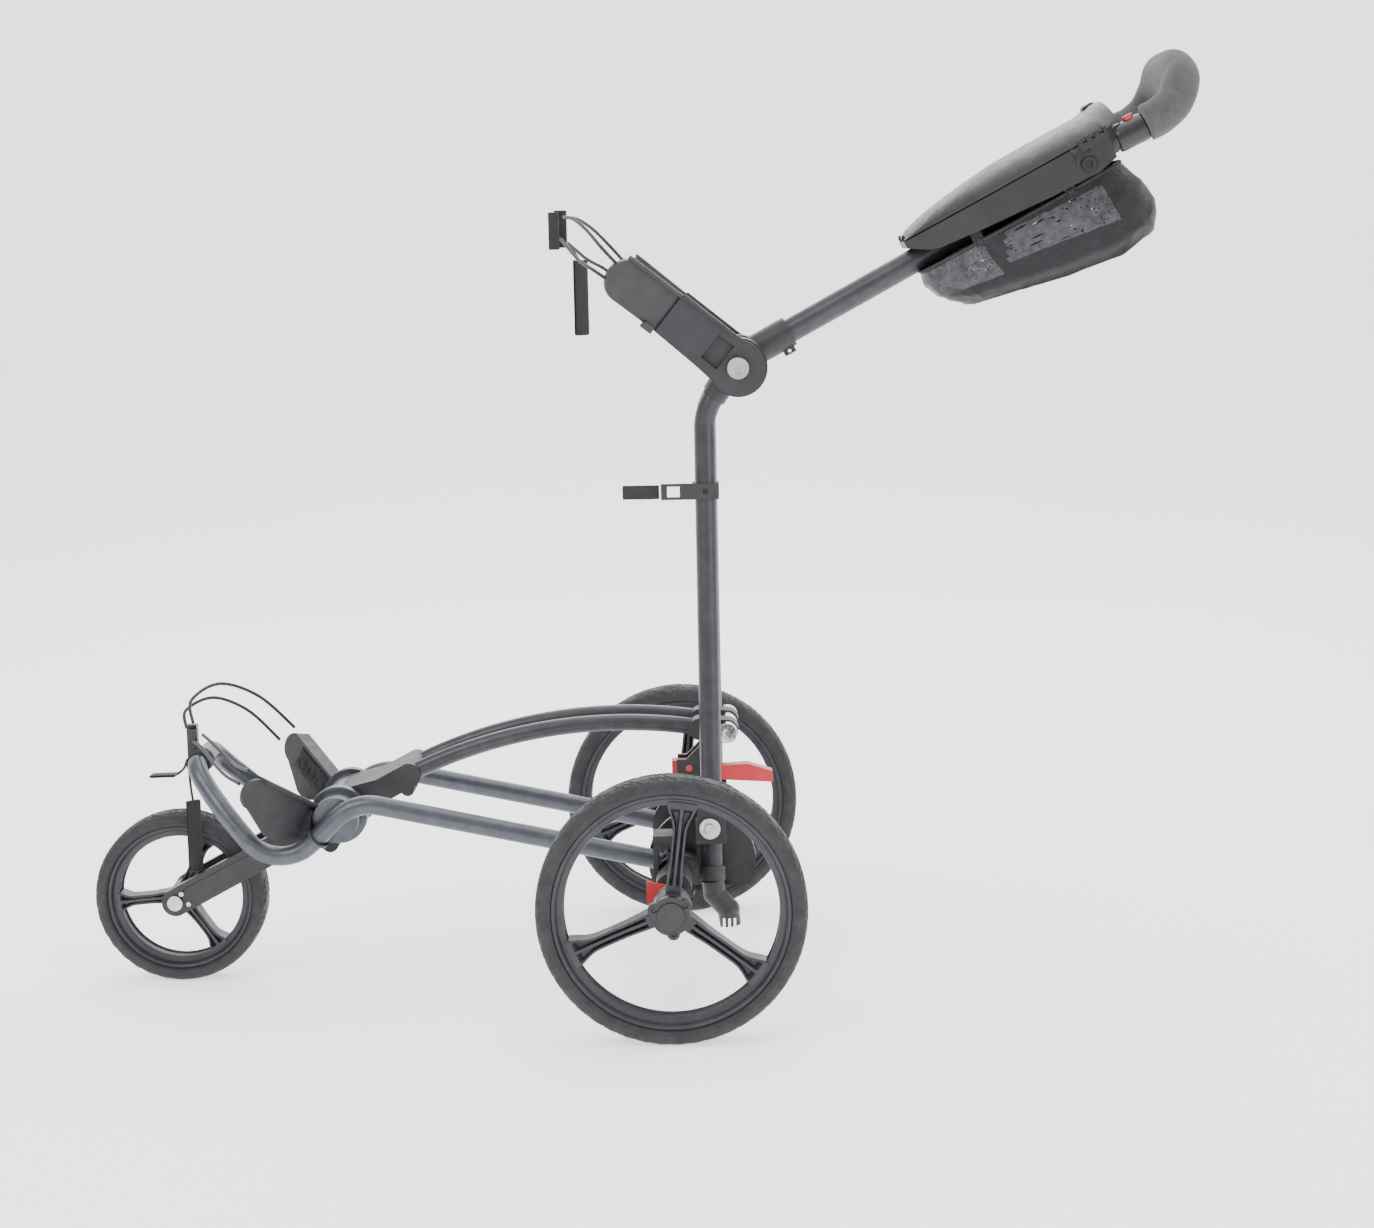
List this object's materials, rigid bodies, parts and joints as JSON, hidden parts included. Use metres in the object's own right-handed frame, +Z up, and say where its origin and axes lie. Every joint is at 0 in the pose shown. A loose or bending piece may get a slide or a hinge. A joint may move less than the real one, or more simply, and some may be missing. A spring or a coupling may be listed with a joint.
{
  "type": "golf push cart",
  "caption": "Folding golf push cart with tubular base, folding posts and handle, bag brackets with cords, console with lid, foam grip, mesh pouch and spoked wheels.",
  "frame": {"origin": "centre of the footprint of the whole cart, on the floor it stands on", "axes": "+X from the front wheel towards the handle, +Y from the left wheel to the right wheel, +Z up"},
  "size_m": [1.2697, 0.628, 1.0454],
  "materials": {
    "powder_coat": "matte textured black powder coat",
    "black_plastic": "satin moulded plastic",
    "tyre": "matte moulded tread",
    "soft_rubber": "matte rubber",
    "foam": "matte closed-cell foam",
    "cord": "braided elastic cord",
    "webbing": "woven webbing",
    "mesh": "knitted netting",
    "steel": "bright zinc plate",
    "chrome": "polished chrome",
    "red_plastic": "glossy red plastic"
  },
  "bodies": {
    "base": {"base_frame_tube": "powder_coat", "hub_drum": "black_plastic", "fork_arms": "black_plastic", "front_axle": "steel", "arch_tube_left": "powder_coat", "arch_tube_right": "powder_coat", "arch_front_socket": "black_plastic", "arch_rear_eyes": "powder_coat", "cross_pin_roller": "chrome", "rear_plate_left": "black_plastic", "rear_plate_right": "black_plastic", "axle_beam": "powder_coat", "axle_housing_left": "black_plastic", "axle_housing_right": "black_plastic", "latch_tower": "black_plastic", "rubber_foot": "soft_rubber", "lower_wing_left": "black_plastic", "lower_wing_right": "black_plastic", "lower_pads": "soft_rubber", "lower_cords": "cord", "lower_buckle": "black_plastic", "lower_webbing": "webbing", "frame_screws": "steel"},
    "lever": {"fold_lever": "red_plastic"},
    "brake": {"brake_pedal": "black_plastic"},
    "front_wheel": {"front_tyre": "tyre", "front_rim": "black_plastic", "front_bearings": "steel"},
    "left_wheel": {"tyre_left": "tyre", "rim_left": "black_plastic", "bearings_left": "steel", "hub_cap_left": "black_plastic"},
    "right_wheel": {"tyre_right": "tyre", "rim_right": "black_plastic", "bearings_right": "steel", "hub_cap_right": "black_plastic"},
    "left_release": {"wheel_release_left": "red_plastic"},
    "right_release": {"wheel_release_right": "red_plastic"},
    "posts": {"post_tube_left": "powder_coat", "post_tube_right": "powder_coat", "post_clamps": "black_plastic", "post_feet": "black_plastic", "joint_housing": "black_plastic", "joint_bolt": "steel", "strap_bracket": "black_plastic", "strap_webbing": "webbing"},
    "bag_bracket": {"upper_arm_left": "black_plastic", "upper_arm_right": "black_plastic", "upper_pads": "soft_rubber", "upper_cords": "cord", "upper_buckle": "black_plastic", "upper_webbing": "webbing"},
    "handle": {"handle_tube": "powder_coat", "handle_collar": "black_plastic", "console_base": "black_plastic", "handlebar": "powder_coat", "foam_grip": "foam", "mesh_pouch": "mesh"},
    "lid": {"console_lid": "black_plastic"},
    "button": {"red_button": "red_plastic"}
  },
  "joints": [
    {"name": "post_fold", "type": "hinge", "parent": "base", "child": "posts", "pos_m": [0.0872, 0, 0.196], "axis": [0, -1, 0], "range_deg": [0, 74]},
    {"name": "bracket_fold", "type": "hinge", "parent": "posts", "child": "bag_bracket", "pos_m": [0.1282, 0, 0.706], "axis": [0, 1, 0], "range_deg": [0, 47]},
    {"name": "handle_fold", "type": "hinge", "parent": "posts", "child": "handle", "pos_m": [0.1282, 0, 0.706], "axis": [0, 1, 0], "range_deg": [0, 95]},
    {"name": "front_wheel_spin", "type": "hinge", "parent": "base", "child": "front_wheel", "pos_m": [-0.5348, 0, 0.1], "axis": [0, 1, 0], "continuous": true},
    {"name": "left_wheel_spin", "type": "hinge", "parent": "base", "child": "left_wheel", "pos_m": [0.0472, -0.28, 0.145], "axis": [0, 1, 0], "continuous": true},
    {"name": "right_wheel_spin", "type": "hinge", "parent": "base", "child": "right_wheel", "pos_m": [0.0472, 0.28, 0.145], "axis": [0, 1, 0], "continuous": true},
    {"name": "lever_press", "type": "hinge", "parent": "base", "child": "lever", "pos_m": [0.0632, 0, 0.244], "axis": [0, 1, 0], "range_deg": [0, 15], "stiffness_Nm_per_rad": 1, "springref_deg": -11.46},
    {"name": "brake_press", "type": "hinge", "parent": "base", "child": "brake", "pos_m": [0.0472, 0, 0.145], "axis": [0, 1, 0], "range_deg": [0, 18]},
    {"name": "left_release_pull", "type": "slide", "parent": "base", "child": "left_release", "axis": [0, 1, 0], "range_m": [0, 0.006], "stiffness_N_per_m": 300, "springref_m": -0.003},
    {"name": "right_release_pull", "type": "slide", "parent": "base", "child": "right_release", "axis": [0, -1, 0], "range_m": [0, 0.006], "stiffness_N_per_m": 300, "springref_m": -0.003},
    {"name": "lid_hinge", "type": "hinge", "parent": "handle", "child": "lid", "pos_m": [0.31707, 0, 0.84471], "axis": [0, -1, 0], "range_deg": [0, 75]},
    {"name": "button_press", "type": "slide", "parent": "handle", "child": "button", "axis": [0.4726, 0, -0.8813], "range_m": [0, 0.003], "stiffness_N_per_m": 500, "springref_m": -0.001}
  ],
  "couplings": [
    {"joint": "bracket_fold", "follows": "post_fold", "ratio": 0.635}
  ]
}
